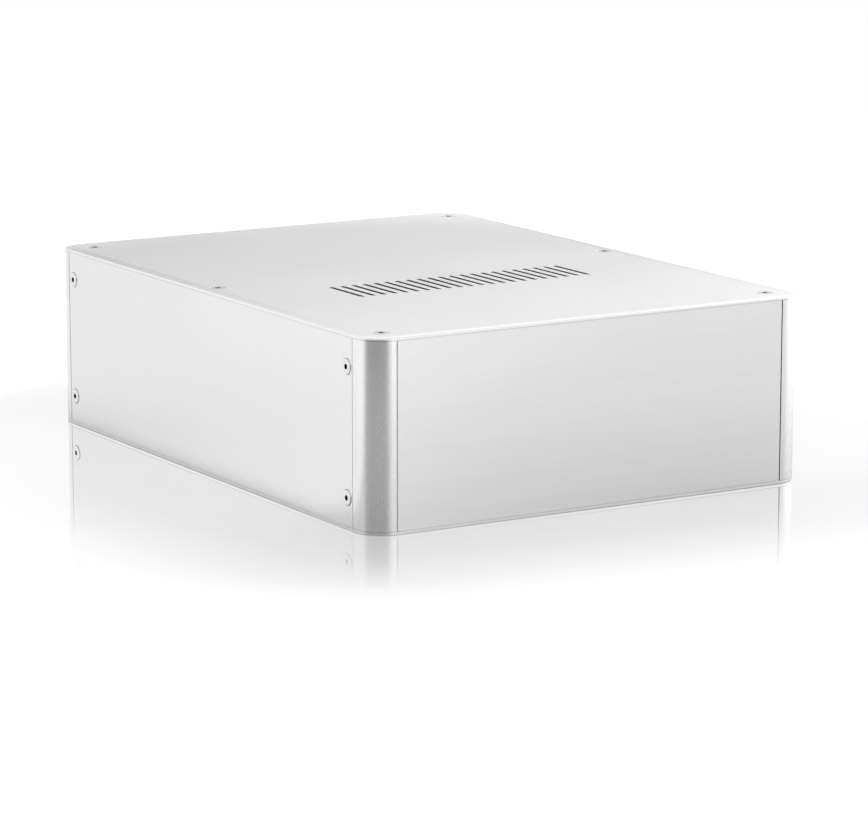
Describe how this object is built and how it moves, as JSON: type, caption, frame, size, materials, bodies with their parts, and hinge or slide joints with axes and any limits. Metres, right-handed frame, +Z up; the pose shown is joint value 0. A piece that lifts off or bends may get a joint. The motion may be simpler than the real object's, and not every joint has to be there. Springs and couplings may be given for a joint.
{
  "type": "amplifier chassis",
  "caption": "Empty low rectangular aluminium amplifier case with round corner pillars, screwed top and bottom covers and a row of vent slots in the top.",
  "frame": {"origin": "middle of the footprint, on the underside of the bottom plate", "axes": "+X to the right seen from the front, +Y from the front panel to the rear panel, +Z up"},
  "size_m": [0.2408, 0.3226, 0.0907],
  "materials": {
    "cover": "satin silver anodised",
    "end_panel": "brushed silver anodised",
    "side_panel": "satin silver anodised",
    "pillar": "satin silver anodised extrusion",
    "post": "turned",
    "screw": "zinc plated"
  },
  "bodies": {
    "root": {"top_cover": "cover", "bottom_plate": "cover", "front_panel": "end_panel", "rear_panel": "end_panel", "left_side_panel": "side_panel", "right_side_panel": "side_panel", "front_left_pillar": "pillar", "front_right_pillar": "pillar", "rear_left_pillar": "pillar", "rear_right_pillar": "pillar", "left_post": "post", "right_post": "post", "top_screw_front_left": "screw", "top_screw_front_right": "screw", "top_screw_middle_left": "screw", "top_screw_middle_right": "screw", "top_screw_rear_left": "screw", "top_screw_rear_right": "screw", "bottom_screw_front_left": "screw", "bottom_screw_front_right": "screw", "bottom_screw_middle_left": "screw", "bottom_screw_middle_right": "screw", "bottom_screw_rear_left": "screw", "bottom_screw_rear_right": "screw", "left_screw_front_upper": "screw", "left_screw_front_lower": "screw", "left_screw_rear_upper": "screw", "left_screw_rear_lower": "screw", "right_screw_front_upper": "screw", "right_screw_front_lower": "screw", "right_screw_rear_upper": "screw", "right_screw_rear_lower": "screw"}
  },
  "joints": []
}
